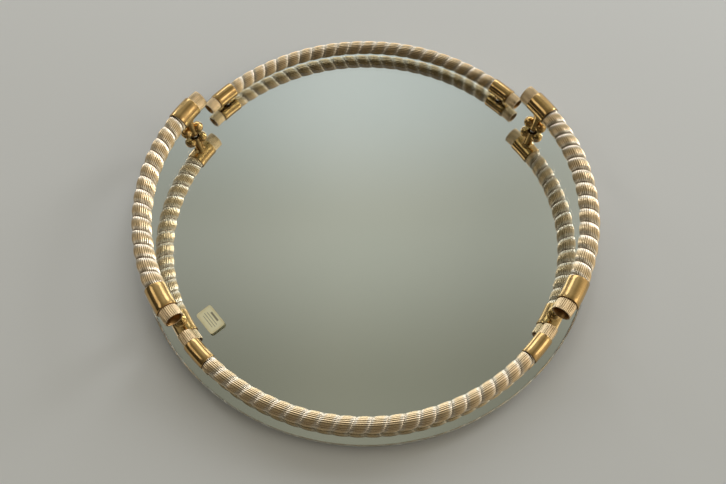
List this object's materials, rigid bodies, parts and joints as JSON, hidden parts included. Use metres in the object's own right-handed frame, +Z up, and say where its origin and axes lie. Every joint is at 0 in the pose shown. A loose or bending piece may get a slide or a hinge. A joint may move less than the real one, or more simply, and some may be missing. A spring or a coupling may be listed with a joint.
{
  "type": "dresser vanity tray",
  "caption": "Round mirrored vanity tray with raised rope-twist tube handles at its sides, low matching rails at front and back, brass ferrules and ball-footed posts on a drilled glass plate.",
  "frame": {"origin": "centre of the tray in plan, on the plane that its rubber feet stand on", "axes": "+Z up, square to the mirror; +X towards the right handle; -Y towards the front rail, where the label lies"},
  "size_m": [0.305, 0.305, 0.0387],
  "materials": {
    "mirror_glass": "clear plate glass with polished bevelled edges",
    "silver": "silver coat on the back of the glass",
    "backing_paint": "matt grey protective paint",
    "rope_gilt": "pale champagne gilt, finely fluted and rope twisted",
    "ferrule_brass": "polished lacquered brass with fine lengthwise streaks",
    "post_brass": "polished cast brass",
    "plug_steel": "plain turned steel",
    "screw_brass": "yellow-plated pan-head screws",
    "washer_steel": "plain steel",
    "fibre": "red vulcanised fibre",
    "rubber": "matt black moulded rubber",
    "label_paper": "aged cream paper with a thin plain border"
  },
  "bodies": {
    "root": {"mirror_glass": "mirror_glass", "silver_coat": "silver", "backing_paint": "backing_paint", "handle_tube_left": "rope_gilt", "handle_tube_right": "rope_gilt", "rail_tube_front": "rope_gilt", "rail_tube_back": "rope_gilt", "handle_ferrule_left_front": "ferrule_brass", "handle_ferrule_left_back": "ferrule_brass", "handle_ferrule_right_front": "ferrule_brass", "handle_ferrule_right_back": "ferrule_brass", "rail_ferrule_front_left": "ferrule_brass", "rail_ferrule_front_right": "ferrule_brass", "rail_ferrule_back_left": "ferrule_brass", "rail_ferrule_back_right": "ferrule_brass", "handle_post_left_front": "post_brass", "handle_post_left_back": "post_brass", "handle_post_right_front": "post_brass", "handle_post_right_back": "post_brass", "rail_saddle_front_left": "post_brass", "rail_saddle_front_right": "post_brass", "rail_saddle_back_left": "post_brass", "rail_saddle_back_right": "post_brass", "handle_plugs": "plug_steel", "rail_plugs": "plug_steel", "handle_screws": "screw_brass", "rail_screws": "screw_brass", "head_washers": "washer_steel", "post_washers": "fibre", "saddle_washers": "fibre", "rubber_feet": "rubber", "label": "label_paper"}
  },
  "joints": []
}
